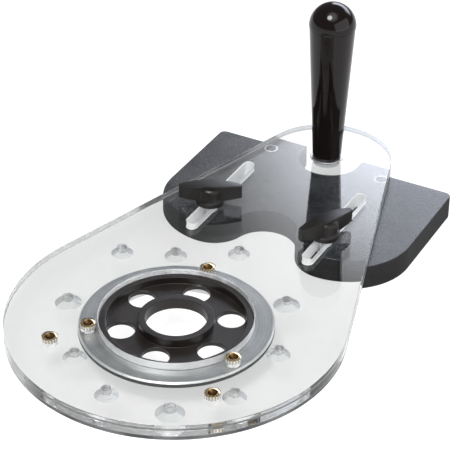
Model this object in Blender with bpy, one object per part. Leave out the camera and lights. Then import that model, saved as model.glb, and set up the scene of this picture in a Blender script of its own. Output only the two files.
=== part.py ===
"""Offset base plate for a hand-held router, with a grip, an insert ring and an edge guide.

The frame's origin is on the surface the guide stands on, under the middle of the
plate's bounding box. +Z is up, +Y runs from the router opening to the grip and +X is
to the right. All lengths are in metres, with MM to write them in millimetres.
"""

import math

import bmesh
import bpy
from mathutils import Vector

MM = 0.001
GAP = 0.3 * MM  # clearance between pieces that touch on the real object

# Plate: a big disc and a small disc, joined by their two outer tangents
PLATE_T = 9.5 * MM
BIG_R = 95.5 * MM
SMALL_R = 41.0 * MM
CENTRES = 192.5 * MM
OPENING_R = 43.4 * MM

# Heights of the stack, from the standing surface up
GUIDE_T = 15.5 * MM
PLATE_Z = GUIDE_T + GAP
PLATE_TOP = PLATE_Z + PLATE_T

# Places along Y: the bounding box is centred on the origin
OPENING_Y = BIG_R - (BIG_R + CENTRES + SMALL_R) / 2
GRIP_Y = OPENING_Y + CENTRES

# Seat ring, screwed under the plate around the opening
SEAT_OUTER_R = 54.8 * MM
SEAT_INNER_R = 40.2 * MM
SEAT_T = 3.2 * MM
SEAT_CHAMFER = 0.9 * MM
SEAT_TOP = PLATE_Z - GAP
SEAT_BOTTOM = SEAT_TOP - SEAT_T
SEAT_SCREW_R = 49.1 * MM
SEAT_SCREW_ANGLES = (98, 218, 338)

# Drop-in insert ring: a dish with a raised boss for a template collar
DISH_OUTER_R = OPENING_R - GAP
DISH_INNER_R = 39.2 * MM
DISH_RIM_TOP = PLATE_TOP - 2.7 * MM
DISH_FLOOR_TOP = PLATE_TOP - 6.9 * MM
BOSS_TOP = PLATE_TOP - 1.7 * MM
BOSS_R = 21.4 * MM
BORE_R = 17.3 * MM
BORE_CHAMFER = 1.0 * MM
SIGHT_HOLE_R = 7.9 * MM
SIGHT_CIRCLE_R = 31.0 * MM
SIGHT_FIRST_ANGLE = 38

# Holes for the router's own screws: circle radius, angle, hole radius, countersink radius
ROUTER_HOLES = (
    [(74.0 * MM, angle, 2.8 * MM, 6.5 * MM) for angle in (145, 90, -90, -36)]
    + [(63.4 * MM, angle, 2.8 * MM, 6.6 * MM) for angle in (120, 240, 0)]
    + [(63.4 * MM, angle, 2.9 * MM, 7.6 * MM) for angle in (193, 42)]
    + [(79.7 * MM, -62.7, 3.3 * MM, 7.9 * MM)]
)

# Brass threaded inserts in the plate
PLATE_INSERT_R = 4.1 * MM
PLATE_INSERT_BORE_R = 2.45 * MM
SPARE_INSERT_CIRCLE_R = 71.3 * MM
SPARE_INSERT_ANGLES = {"left": 225, "right": -45}
SEAT_SCREW_SHANK_R = 2.1 * MM
SEAT_SCREW_HEAD_R = 3.9 * MM
SEAT_SCREW_LENGTH = 10.0 * MM

# Slots for the two clamp knobs, given as distances from the opening's centre
SLOT_X = 38.6 * MM
SLOT_HALF_W = 3.3 * MM
SLOT_NEAR = 83.4 * MM
SLOT_FAR = 163.0 * MM
KNOB_DISTANCE = 109.5 * MM
KNOB_Y = OPENING_Y + KNOB_DISTANCE

# Edge guide: straight rear edge with a half-round notch, two lobes in front
GUIDE_HALF_W = 81.5 * MM
GUIDE_REAR = 204.2 * MM
GUIDE_FRONT = 95.0 * MM
GUIDE_CORNER_R = 4.0 * MM
GUIDE_LOBE_R = 42.0 * MM
NOTCH_R = 19.5 * MM
REAR_NOTCH_CENTRE = 197.0 * MM
FRONT_NOTCH_CENTRE = GUIDE_FRONT + 10.9 * MM
GUIDE_EDGE_BREAK = 0.5 * MM
GUIDE_INSERT_R = 4.3 * MM
GUIDE_INSERT_BORE_R = 3.3 * MM
GUIDE_INSERT_LENGTH = 11.0 * MM
GUIDE_INSERT_REAR = 190.8 * MM

# Wing knobs
STUD_R = 3.0 * MM
STUD_BOTTOM = 5.5 * MM
COLLAR_R = 8.8 * MM
COLLAR_H = 3.4 * MM
BOSS_ON_KNOB_R = 7.7 * MM
BOSS_ON_KNOB_H = 11.8 * MM
HUB_BOTTOM = PLATE_TOP + GAP
WING_HALF_SPAN = 19.2 * MM
WING_HALF_THICK = 4.9 * MM
WING_TIP_HALF_THICK = 1.7 * MM
WING_UNDERSIDE = 3.4 * MM
WING_TIP_UNDERSIDE = 4.3 * MM
WING_TOP = 13.7 * MM
WING_TIP_TOP = 12.5 * MM
WING_EDGE = 0.6 * MM  # width of the broken edges
STUD_SOCKET_DEPTH = 9.5 * MM
KNOB_ANGLES = {"left": 28, "right": 65}

# Grip and what holds it
WASHER_R = 10.6 * MM
WASHER_T = 0.8 * MM
WASHER_BOTTOM = PLATE_TOP + GAP
GRIP_BOTTOM = WASHER_BOTTOM + WASHER_T + GAP
GRIP_BOTTOM_R = 9.1 * MM
GRIP_NECK_R = 14.15 * MM
GRIP_NECK_HEIGHT = 91.6 * MM
DOME_R = 14.45 * MM
DOME_HEIGHT = 92.7 * MM
GRIP_SCREW_R = 3.9 * MM
GRIP_SCREW_HEAD_R = 8.0 * MM
GRIP_SCREW_TOP = PLATE_TOP + 60.0 * MM
GRIP_INSERT_R = 6.5 * MM
GRIP_INSERT_TOP = PLATE_TOP + 42.0 * MM
HEX_RECESS_R = 0.42  # as a share of the screw head's radius


# ---------------------------------------------------------------- materials
def material(name, colour, roughness, metallic=0.0, alpha=1.0):
    made = bpy.data.materials.get(name)
    if made is None:
        made = bpy.data.materials.new(name)
        made.use_nodes = True
        shader = made.node_tree.nodes["Principled BSDF"]
        shader.inputs["Base Color"].default_value = (*colour, 1.0)
        shader.inputs["Roughness"].default_value = roughness
        shader.inputs["Metallic"].default_value = metallic
        shader.inputs["Alpha"].default_value = alpha
    return made


def clear_acrylic():
    return material("clear_acrylic", (0.90, 0.93, 0.94), 0.05, alpha=0.35)


def turned_aluminium():
    return material("turned_aluminium", (0.50, 0.51, 0.52), 0.35, 1.0)


def black_moulding():
    return material("black_moulding", (0.022, 0.021, 0.021), 0.5)


def black_board():
    return material("black_board", (0.030, 0.031, 0.034), 0.75)


def black_gloss():
    return material("black_gloss", (0.010, 0.009, 0.009), 0.12)


def brass():
    return material("brass", (0.80, 0.62, 0.34), 0.25, 1.0)


def steel():
    return material("steel", (0.55, 0.55, 0.55), 0.3, 1.0)


# ---------------------------------------------------------------- outlines
def polar(radius, degrees, centre=(0.0, 0.0)):
    angle = math.radians(degrees)
    return (centre[0] + radius * math.cos(angle), centre[1] + radius * math.sin(angle))


def arc(centre, radius, start, end, steps):
    """Points from angle start to angle end, in degrees, both included."""
    turn = (end - start) / steps
    return [polar(radius, start + turn * i, centre) for i in range(steps + 1)]


def without_repeats(points):
    kept = [points[0]]
    for point in points[1:]:
        if math.dist(point, kept[-1]) > 0.01 * MM:
            kept.append(point)
    if math.dist(kept[0], kept[-1]) <= 0.01 * MM:
        kept.pop()
    return kept


def plate_outline():
    lean = math.degrees(math.asin((BIG_R - SMALL_R) / CENTRES))
    big, small = (0.0, OPENING_Y), (0.0, GRIP_Y)
    points = arc(big, BIG_R, 180 - lean, 180, 5)
    points += arc(big, BIG_R, 180, 360, 60)
    points += arc(big, BIG_R, 360, 360 + lean, 5)
    points += arc(small, SMALL_R, lean, 90, 14)
    points += arc(small, SMALL_R, 90, 180 - lean, 14)
    return without_repeats(points)


def slot_outline(x):
    near = (x, OPENING_Y + SLOT_NEAR + SLOT_HALF_W)
    far = (x, OPENING_Y + SLOT_FAR - SLOT_HALF_W)
    return arc(near, SLOT_HALF_W, 180, 360, 12) + arc(far, SLOT_HALF_W, 0, 180, 12)


def guide_outline():
    """Right half as arcs that meet tangentially, then its mirror image."""
    lobe_x = GUIDE_HALF_W - GUIDE_LOBE_R
    drop = FRONT_NOTCH_CENTRE - GUIDE_FRONT
    # radius of the lobe's inner arc, which touches the front edge and the notch
    inner_r = (lobe_x**2 + drop**2 - NOTCH_R**2) / (2 * (NOTCH_R + drop))
    notch = (0.0, OPENING_Y + FRONT_NOTCH_CENTRE)
    inner = (lobe_x, OPENING_Y + GUIDE_FRONT + inner_r)
    outer = (lobe_x, OPENING_Y + GUIDE_FRONT + GUIDE_LOBE_R)
    meet = math.degrees(math.atan2(inner[1] - notch[1], inner[0] - notch[0]))
    corner = (GUIDE_HALF_W - GUIDE_CORNER_R, OPENING_Y + GUIDE_REAR - GUIDE_CORNER_R)
    rear_notch = (0.0, OPENING_Y + REAR_NOTCH_CENTRE)
    half = arc(notch, NOTCH_R, 90, meet, 9)
    half += arc(inner, inner_r, 180 + meet, 270, 9)
    half += arc(outer, GUIDE_LOBE_R, -90, 0, 14)
    half += arc(corner, GUIDE_CORNER_R, 0, 90, 4)
    half += [(NOTCH_R, OPENING_Y + GUIDE_REAR)]
    half += arc(rear_notch, NOTCH_R, 0, -90, 10)
    mirrored = [(-x, y) for x, y in reversed(half)]
    return without_repeats(half + mirrored)


# ---------------------------------------------------------------- solids
def finish(name, mesh_data, look, origin=(0.0, 0.0, 0.0), parent=None):
    """Make the object, with its own origin moved to the given place."""
    bmesh.ops.recalc_face_normals(mesh_data, faces=mesh_data.faces)
    bmesh.ops.translate(mesh_data, verts=mesh_data.verts, vec=-Vector(origin))
    mesh = bpy.data.meshes.new(name)
    mesh_data.to_mesh(mesh)
    mesh_data.free()
    made = bpy.data.objects.new(name, mesh)
    bpy.context.scene.collection.objects.link(made)
    made.location = origin
    if look is not None:
        mesh.materials.append(look)
    mesh.shade_smooth()
    mesh.set_sharp_from_angle(angle=math.radians(30))
    if parent is not None:
        made.parent = parent
        made.location = Vector(origin) - parent.location
    return made


def prism(outline, bottom, top):
    made = bmesh.new()
    face = made.faces.new([made.verts.new((x, y, bottom)) for x, y in outline])
    raised = bmesh.ops.extrude_face_region(made, geom=[face])
    lifted = [item for item in raised["geom"] if isinstance(item, bmesh.types.BMVert)]
    bmesh.ops.translate(made, verts=lifted, vec=(0.0, 0.0, top - bottom))
    return made


def add_turned(mesh_data, profile, centre, steps, closed):
    """Add a solid of revolution about the vertical line through centre.

    profile is a list of (radius, height). A closed profile makes a ring; an open one
    starts and ends on the axis, where a point of radius 0 becomes a single vertex.
    """
    rings = []
    for radius, height in profile:
        if radius == 0.0:
            rings.append([mesh_data.verts.new((*centre, height))])
            continue
        ring = [polar(radius, 360 * i / steps, centre) for i in range(steps)]
        rings.append([mesh_data.verts.new((x, y, height)) for x, y in ring])
    pairs = list(zip(rings, rings[1:]))
    if closed:
        pairs.append((rings[-1], rings[0]))
    for low, high in pairs:
        for i in range(steps):
            j = (i + 1) % steps
            corners = [low[i % len(low)], low[j % len(low)], high[j % len(high)], high[i % len(high)]]
            mesh_data.faces.new(list(dict.fromkeys(corners)))


def turned(profile, centre, steps, closed=False):
    made = bmesh.new()
    add_turned(made, profile, centre, steps, closed)
    return made


def cylinder_profile(radius, bottom, top):
    return [(0.0, bottom), (radius, bottom), (radius, top), (0.0, top)]


def cutter(name, mesh_data):
    """A shape that is only subtracted from others."""
    made = finish(name, mesh_data, None)
    made.hide_render = True
    made.display_type = "WIRE"
    return made


def cut(target, tool):
    step = target.modifiers.new(tool.name, "BOOLEAN")
    step.operation = "DIFFERENCE"
    step.solver = "EXACT"
    step.object = tool


def join(target, tool):
    step = target.modifiers.new(tool.name, "BOOLEAN")
    step.operation = "UNION"
    step.solver = "EXACT"
    step.object = tool


# ---------------------------------------------------------------- plate
def opening_centre():
    return (0.0, OPENING_Y)


def make_plate():
    plate = finish("base_plate", prism(plate_outline(), PLATE_Z, PLATE_TOP), clear_acrylic())
    past = 2 * MM
    holes = bmesh.new()
    add_turned(
        holes,
        cylinder_profile(OPENING_R, PLATE_Z - past, PLATE_TOP + past),
        opening_centre(),
        72,
        False,
    )
    for circle_r, angle, hole_r, sink_r in ROUTER_HOLES:
        sink_depth = sink_r - hole_r
        profile = [
            (0.0, PLATE_Z - past),
            (sink_r + past, PLATE_Z - past),
            (hole_r, PLATE_Z + sink_depth),
            (hole_r, PLATE_TOP + past),
            (0.0, PLATE_TOP + past),
        ]
        add_turned(holes, profile, polar(circle_r, angle, opening_centre()), 20, False)
    for centre in insert_places().values():
        profile = cylinder_profile(PLATE_INSERT_R + GAP, PLATE_Z - past, PLATE_TOP + past)
        add_turned(holes, profile, centre, 20, False)
    shank_r = GRIP_SCREW_R + GAP
    head_r = GRIP_SCREW_HEAD_R + GAP
    profile = [
        (0.0, PLATE_Z - past),
        (head_r + past, PLATE_Z - past),
        (shank_r, PLATE_Z + head_r - shank_r),
        (shank_r, PLATE_TOP + past),
        (0.0, PLATE_TOP + past),
    ]
    add_turned(holes, profile, (0.0, GRIP_Y), 24, False)
    cut(plate, cutter("plate_holes", holes))
    for side, x in (("left", -SLOT_X), ("right", SLOT_X)):
        shape = prism(slot_outline(x), PLATE_Z - past, PLATE_TOP + past)
        cut(plate, cutter("slot_" + side, shape))


def insert_places():
    """Where each threaded insert of the plate stands, by node name."""
    places = {}
    for number, angle in enumerate(SEAT_SCREW_ANGLES, 1):
        places[f"seat_insert_{number}"] = polar(SEAT_SCREW_R, angle, opening_centre())
    for side, angle in SPARE_INSERT_ANGLES.items():
        places["plate_insert_" + side] = polar(SPARE_INSERT_CIRCLE_R, angle, opening_centre())
    return places


def make_plate_inserts():
    for name, centre in insert_places().items():
        profile = [
            (PLATE_INSERT_BORE_R, PLATE_Z),
            (PLATE_INSERT_R, PLATE_Z),
            (PLATE_INSERT_R, PLATE_TOP),
            (PLATE_INSERT_BORE_R + 0.5 * MM, PLATE_TOP),
            (PLATE_INSERT_BORE_R, PLATE_TOP - 0.5 * MM),
        ]
        finish(name, turned(profile, centre, 20, closed=True), brass(), (*centre, PLATE_TOP))


# ---------------------------------------------------------------- seat ring
def make_seat_ring():
    profile = [
        (SEAT_INNER_R, SEAT_BOTTOM),
        (SEAT_OUTER_R, SEAT_BOTTOM),
        (SEAT_OUTER_R, SEAT_TOP - SEAT_CHAMFER),
        (SEAT_OUTER_R - SEAT_CHAMFER, SEAT_TOP),
        (SEAT_INNER_R, SEAT_TOP),
    ]
    shape = turned(profile, opening_centre(), 72, closed=True)
    ring = finish("seat_ring", shape, turned_aluminium(), (*opening_centre(), SEAT_TOP))
    holes = bmesh.new()
    past = 1 * MM
    shank_r = SEAT_SCREW_SHANK_R + GAP
    head_r = SEAT_SCREW_HEAD_R + GAP
    for angle in SEAT_SCREW_ANGLES:
        profile = [
            (0.0, SEAT_BOTTOM - past),
            (head_r + past, SEAT_BOTTOM - past),
            (shank_r, SEAT_BOTTOM + head_r - shank_r),
            (shank_r, SEAT_TOP + past),
            (0.0, SEAT_TOP + past),
        ]
        add_turned(holes, profile, polar(SEAT_SCREW_R, angle, opening_centre()), 20, False)
    cut(ring, cutter("seat_screw_holes", holes))


def countersunk_screw(name, centre, head_r, shank_r, bottom, top, steps):
    """A countersunk screw with its head down and a hex recess in the head."""
    profile = [
        (0.0, bottom),
        (head_r, bottom),
        (shank_r, bottom + head_r - shank_r),
        (shank_r, top - 0.4 * shank_r),
        (0.6 * shank_r, top),
        (0.0, top),
    ]
    screw = finish(name, turned(profile, centre, steps), steel(), (*centre, bottom))
    depth = 0.8 * (head_r - shank_r)
    recess = cylinder_profile(HEX_RECESS_R * head_r, bottom - 1 * MM, bottom + depth)
    cut(screw, cutter(name + "_recess", turned(recess, centre, 6)))


def make_seat_screws():
    bottom = SEAT_BOTTOM + 0.1 * MM
    for number, angle in enumerate(SEAT_SCREW_ANGLES, 1):
        centre = polar(SEAT_SCREW_R, angle, opening_centre())
        countersunk_screw(
            f"seat_screw_{number}",
            centre,
            SEAT_SCREW_HEAD_R,
            SEAT_SCREW_SHANK_R,
            bottom,
            bottom + SEAT_SCREW_LENGTH,
            20,
        )


# ---------------------------------------------------------------- insert ring
def make_insert_ring():
    profile = [
        (BORE_R + BORE_CHAMFER, PLATE_Z),
        (DISH_OUTER_R, PLATE_Z),
        (DISH_OUTER_R, DISH_RIM_TOP),
        (DISH_INNER_R, DISH_RIM_TOP),
        (DISH_INNER_R, DISH_FLOOR_TOP),
        (BOSS_R, DISH_FLOOR_TOP),
        (BOSS_R, BOSS_TOP),
        (BORE_R, BOSS_TOP),
        (BORE_R, PLATE_Z + BORE_CHAMFER),
    ]
    shape = turned(profile, opening_centre(), 72, closed=True)
    ring = finish("insert_ring", shape, black_moulding(), (*opening_centre(), PLATE_Z))
    holes = bmesh.new()
    for i in range(6):
        centre = polar(SIGHT_CIRCLE_R, SIGHT_FIRST_ANGLE + 60 * i, opening_centre())
        profile = cylinder_profile(SIGHT_HOLE_R, PLATE_Z - 1 * MM, DISH_FLOOR_TOP + 1 * MM)
        add_turned(holes, profile, centre, 24, False)
    cut(ring, cutter("sight_holes", holes))


# ---------------------------------------------------------------- edge guide
def guide_insert_places():
    places = {}
    for row, distance in (("front", KNOB_DISTANCE), ("rear", GUIDE_INSERT_REAR)):
        for side, x in (("left", -SLOT_X), ("right", SLOT_X)):
            places[f"guide_insert_{row}_{side}"] = (x, OPENING_Y + distance)
    return places


def make_guide(carriage):
    shape = prism(guide_outline(), 0.0, GUIDE_T)
    guide = finish("edge_guide", shape, black_board(), (0.0, KNOB_Y, 0.0), carriage)
    edges = guide.modifiers.new("broken_edges", "BEVEL")
    edges.width = GUIDE_EDGE_BREAK
    edges.segments = 1
    edges.limit_method = "ANGLE"
    edges.angle_limit = math.radians(60)
    holes = bmesh.new()
    for centre in guide_insert_places().values():
        profile = cylinder_profile(GUIDE_INSERT_R + GAP, -1 * MM, GUIDE_T + 1 * MM)
        add_turned(holes, profile, centre, 20, False)
    cut(guide, cutter("guide_holes", holes))
    top = GUIDE_T - 0.1 * MM
    for name, centre in guide_insert_places().items():
        profile = [
            (GUIDE_INSERT_BORE_R, top - GUIDE_INSERT_LENGTH),
            (GUIDE_INSERT_R, top - GUIDE_INSERT_LENGTH),
            (GUIDE_INSERT_R, top),
            (GUIDE_INSERT_BORE_R, top),
        ]
        finish(name, turned(profile, centre, 20, closed=True), steel(), (*centre, top), carriage)


# ---------------------------------------------------------------- knobs
def wing_sections(count):
    """Half-thickness, underside and top of the wings at count stations along them."""
    for i in range(count):
        along = -1 + 2 * i / (count - 1)
        share = 1 - along * along
        half = WING_TIP_HALF_THICK + (WING_HALF_THICK - WING_TIP_HALF_THICK) * share
        low = WING_TIP_UNDERSIDE + (WING_UNDERSIDE - WING_TIP_UNDERSIDE) * share
        high = WING_TIP_TOP + (WING_TOP - WING_TIP_TOP) * share
        yield along * WING_HALF_SPAN, half, low, high


def wing_solid(centre, turn):
    """Lens-shaped wings, with their upper edges rounded."""
    made = bmesh.new()
    rings = []
    edge = WING_EDGE
    along_dir = Vector((math.cos(turn), math.sin(turn), 0.0))
    across_dir = Vector((-math.sin(turn), math.cos(turn), 0.0))
    start = Vector((*centre, PLATE_TOP))
    for along, half, low, high in wing_sections(13):
        corners = [
            (-half + edge / 2, low),
            (half - edge / 2, low),
            (half, low + edge / 2),
            (half, high - edge),
            (half - edge, high),
            (-half + edge, high),
            (-half, high - edge),
            (-half, low + edge / 2),
        ]
        ring = []
        for across, height in corners:
            place = start + along_dir * along + across_dir * across + Vector((0.0, 0.0, height))
            ring.append(made.verts.new(place))
        rings.append(ring)
    for ring, following in zip(rings, rings[1:]):
        bmesh.ops.bridge_loops(made, edges=ring_edges(made, ring) + ring_edges(made, following))
    made.faces.new(rings[0])
    made.faces.new(rings[-1])
    return made


def ring_edges(mesh_data, ring):
    found = []
    for first, second in zip(ring, ring[1:] + ring[:1]):
        found.append(mesh_data.edges.get((first, second)) or mesh_data.edges.new((first, second)))
    return found


def make_knob(side, carriage):
    x = -SLOT_X if side == "left" else SLOT_X
    centre = (x, KNOB_Y)
    turn = math.radians(KNOB_ANGLES[side])
    place = Vector((x, KNOB_Y, PLATE_TOP))
    spindle = bpy.data.objects.new("spindle_" + side, None)
    bpy.context.scene.collection.objects.link(spindle)
    spindle.parent = carriage
    spindle.location = place - carriage.location
    bpy.context.view_layer.update()

    hub_profile = [
        (0.0, HUB_BOTTOM),
        (COLLAR_R - 0.6 * MM, HUB_BOTTOM),
        (COLLAR_R, HUB_BOTTOM + 0.6 * MM),
        (COLLAR_R, HUB_BOTTOM + COLLAR_H),
        (BOSS_ON_KNOB_R + 0.4 * MM, HUB_BOTTOM + COLLAR_H + 0.9 * MM),
        (BOSS_ON_KNOB_R, HUB_BOTTOM + BOSS_ON_KNOB_H - 2.0 * MM),
        (0.75 * BOSS_ON_KNOB_R, HUB_BOTTOM + BOSS_ON_KNOB_H - 0.6 * MM),
        (0.0, HUB_BOTTOM + BOSS_ON_KNOB_H),
    ]
    hub = turned(hub_profile, centre, 28)
    knob = finish_on(f"knob_{side}", hub, black_moulding(), spindle, place)
    join(knob, cutter("wings_" + side, wing_solid(centre, turn)))
    socket = cylinder_profile(STUD_R + GAP, HUB_BOTTOM - 1 * MM, HUB_BOTTOM + STUD_SOCKET_DEPTH)
    cut(knob, cutter("stud_socket_" + side, turned(socket, centre, 20)))

    stud_top = HUB_BOTTOM + STUD_SOCKET_DEPTH - GAP
    stud_profile = [
        (0.0, STUD_BOTTOM),
        (STUD_R - 0.7 * MM, STUD_BOTTOM),
        (STUD_R, STUD_BOTTOM + 0.7 * MM),
        (STUD_R, stud_top),
        (0.0, stud_top),
    ]
    finish_on(f"knob_stud_{side}", turned(stud_profile, centre, 20), steel(), spindle, place)


def finish_on(name, mesh_data, look, spindle, place):
    """Finish a piece whose origin and parent are both on its spindle."""
    made = finish(name, mesh_data, look, place)
    made.parent = spindle
    made.location = (0.0, 0.0, 0.0)
    return made


# ---------------------------------------------------------------- grip
def make_grip():
    centre = (0.0, GRIP_Y)
    washer = [
        (GRIP_SCREW_R + GAP, WASHER_BOTTOM),
        (WASHER_R, WASHER_BOTTOM),
        (WASHER_R, WASHER_BOTTOM + WASHER_T),
        (GRIP_SCREW_R + GAP, WASHER_BOTTOM + WASHER_T),
    ]
    shape = turned(washer, centre, 32, closed=True)
    finish("grip_washer", shape, steel(), (*centre, WASHER_BOTTOM))

    insert_socket_r = GRIP_INSERT_R + GAP
    screw_socket_r = GRIP_SCREW_R + GAP
    insert_end = GRIP_INSERT_TOP + GAP
    screw_end = GRIP_SCREW_TOP + GAP
    dome_z = PLATE_TOP + DOME_HEIGHT
    neck_z = PLATE_TOP + GRIP_NECK_HEIGHT
    profile = [
        (0.0, screw_end),
        (screw_socket_r, screw_end),
        (screw_socket_r, insert_end),
        (insert_socket_r, insert_end),
        (insert_socket_r, GRIP_BOTTOM),
        (GRIP_BOTTOM_R - 0.8 * MM, GRIP_BOTTOM),
        (GRIP_BOTTOM_R, GRIP_BOTTOM + 0.8 * MM),
        (GRIP_NECK_R, neck_z),
        (GRIP_NECK_R - 0.25 * MM, neck_z + 0.3 * MM),
        (DOME_R - 0.1 * MM, neck_z + 0.7 * MM),
    ]
    profile += [(radius, dome_z + height) for radius, height in arc((0, 0), DOME_R, 0, 77, 7)]
    profile.append((0.0, dome_z + DOME_R))
    finish("grip", turned(profile, centre, 40), black_gloss(), (*centre, GRIP_BOTTOM))

    insert = [
        (GRIP_SCREW_R + GAP, GRIP_BOTTOM),
        (GRIP_INSERT_R, GRIP_BOTTOM),
        (GRIP_INSERT_R, GRIP_INSERT_TOP),
        (GRIP_SCREW_R + GAP, GRIP_INSERT_TOP),
    ]
    shape = turned(insert, centre, 24, closed=True)
    finish("grip_insert", shape, brass(), (*centre, GRIP_BOTTOM))
    countersunk_screw(
        "grip_screw",
        centre,
        GRIP_SCREW_HEAD_R,
        GRIP_SCREW_R,
        PLATE_Z + 0.1 * MM,
        GRIP_SCREW_TOP,
        24,
    )


# ---------------------------------------------------------------- assembly
def clear_scene():
    for item in list(bpy.data.objects):
        bpy.data.objects.remove(item, do_unlink=True)


def build():
    clear_scene()
    carriage = bpy.data.objects.new("guide_carriage", None)
    bpy.context.scene.collection.objects.link(carriage)
    carriage.location = (0.0, KNOB_Y, 0.0)
    make_plate()
    make_plate_inserts()
    make_seat_ring()
    make_seat_screws()
    make_insert_ring()
    make_guide(carriage)
    for side in ("left", "right"):
        make_knob(side, carriage)
    make_grip()


build()
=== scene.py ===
"""Looks of the offset router base plate: fine meshes, materials, studio and camera."""

import math

import bmesh
import bpy
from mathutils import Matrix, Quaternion, Vector


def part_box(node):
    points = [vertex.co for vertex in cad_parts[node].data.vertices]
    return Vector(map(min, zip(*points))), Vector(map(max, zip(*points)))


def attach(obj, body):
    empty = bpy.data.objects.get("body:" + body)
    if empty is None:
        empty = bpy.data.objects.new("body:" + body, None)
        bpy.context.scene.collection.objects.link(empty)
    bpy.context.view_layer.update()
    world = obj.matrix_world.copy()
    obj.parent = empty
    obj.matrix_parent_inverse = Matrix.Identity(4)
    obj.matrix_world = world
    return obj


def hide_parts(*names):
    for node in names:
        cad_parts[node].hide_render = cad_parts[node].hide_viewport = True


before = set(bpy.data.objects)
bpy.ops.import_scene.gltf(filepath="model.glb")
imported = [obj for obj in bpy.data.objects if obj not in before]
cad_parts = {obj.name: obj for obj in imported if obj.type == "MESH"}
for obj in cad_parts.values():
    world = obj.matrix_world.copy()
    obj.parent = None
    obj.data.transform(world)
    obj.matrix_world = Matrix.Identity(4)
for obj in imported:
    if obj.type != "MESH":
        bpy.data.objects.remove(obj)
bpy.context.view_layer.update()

MM = 0.001
GAP = 0.3 * MM  # between pieces that touch on the real object, as in the CAD model
TAU = 2 * math.pi
SLIVER = 0.0005 * MM  # anything thinner is left over from a cut and goes
SHARP_ANGLE = math.radians(40)  # edges that turn by more than this stay sharp
UPRIGHT = 0.3  # a face is upright when its normal's Z is less than this
HOLE_STEPS = 48
THREAD_ROWS = 4  # rings of points for each turn of a thread


# ---------------------------------------------------------------- the frame's measures
def centre_of(node):
    low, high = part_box(node)
    return (low + high) / 2


def half_width(node):
    low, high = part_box(node)
    return (high.x - low.x) / 2


PLATE_LOW, PLATE_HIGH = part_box("base_plate")
PLATE_BOTTOM, PLATE_TOP = PLATE_LOW.z, PLATE_HIGH.z
BIG_R = half_width("base_plate")
OPENING = Vector((0.0, centre_of("insert_ring").y))
GRIP = Vector((0.0, centre_of("grip").y))
CENTRES = (GRIP - OPENING).length
SMALL_R = PLATE_HIGH.y - GRIP.y
DISH_R = half_width("insert_ring")
OPENING_R = DISH_R + GAP
GUIDE_LOW, GUIDE_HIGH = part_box("edge_guide")

# Sizes that the nodes' boxes don't give, as the CAD model has them
EDGE = 0.35 * MM  # rounding of the acrylic's polished edge
ROUTER_HOLES = (
    [(74.0 * MM, angle, 2.8 * MM, 6.5 * MM) for angle in (145, 90, -90, -36)]
    + [(63.4 * MM, angle, 2.8 * MM, 6.6 * MM) for angle in (120, 240, 0)]
    + [(63.4 * MM, angle, 2.9 * MM, 7.6 * MM) for angle in (193, 42)]
    + [(79.7 * MM, -62.7, 3.3 * MM, 7.9 * MM)]
)
HOLE_BREAK = 0.25 * MM  # width of the screw holes' broken upper edges
EDGE_BREAK = 0.3 * MM  # width of the other openings' broken edges
KNURL_DEPTH = 5.2 * MM  # how far down the plate's sockets the inserts' knurls bite
SLOT_HALF_W = 3.3 * MM
SLOT_NEAR = 83.4 * MM
SLOT_FAR = 163.0 * MM
SEAT_INNER_R = 40.2 * MM
SEAT_CHAMFER = 0.9 * MM
DISH_INNER_R = 39.2 * MM
DISH_RIM_DROP = 2.7 * MM
DISH_FLOOR_DROP = 6.9 * MM
BOSS_R = 21.4 * MM
BORE_R = 17.3 * MM
BORE_CHAMFER = 1.0 * MM
SIGHT_HOLE_R = 7.9 * MM
SIGHT_CIRCLE_R = 31.0 * MM
SIGHT_FIRST_ANGLE = 38
GUIDE_CORNER_R = 4.0 * MM
GUIDE_LOBE_R = 42.0 * MM
GUIDE_EDGE = 0.5 * MM
NOTCH_R = 19.5 * MM
REAR_NOTCH_INSET = 7.2 * MM
FRONT_NOTCH_INSET = 10.9 * MM
PLATE_THREAD_R = 2.6 * MM
GUIDE_THREAD_R = 3.3 * MM
STUD_PITCH = 1.27 * MM
WING_HALF_SPAN = 19.1 * MM
WING_HALF_THICK = 4.85 * MM
WING_TIP_HALF_THICK = 1.65 * MM
WING_RISES = (3.4 * MM, 13.65 * MM)  # underside and top at the middle, above the plate
WING_TIP_RISES = (4.3 * MM, 12.45 * MM)
KNOB_TURNS = {"left": 28, "right": 65}
COLLAR_R = 8.8 * MM
COLLAR_H = 3.4 * MM
KNOB_BOSS_R = 7.7 * MM
KNOB_BOSS_H = 11.8 * MM
KNOB_ROUNDING = 3.0 * MM
GRIP_ROUNDING = 1.2 * MM
GRIP_BOTTOM_R = 9.1 * MM
GRIP_NECK_R = 14.15 * MM
GRIP_NECK_BELOW_TOP = 15.55 * MM
GRIP_SHANK_R = 3.9 * MM
SEAT_SHANK_R = 2.1 * MM
RECESS_SHARE = 0.42  # of the screw head's radius
PLATE_INSERTS = (
    "plate_insert_left",
    "plate_insert_right",
    "seat_insert_1",
    "seat_insert_2",
    "seat_insert_3",
)
GUIDE_INSERTS = (
    "guide_insert_front_left",
    "guide_insert_front_right",
    "guide_insert_rear_left",
    "guide_insert_rear_right",
)

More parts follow.
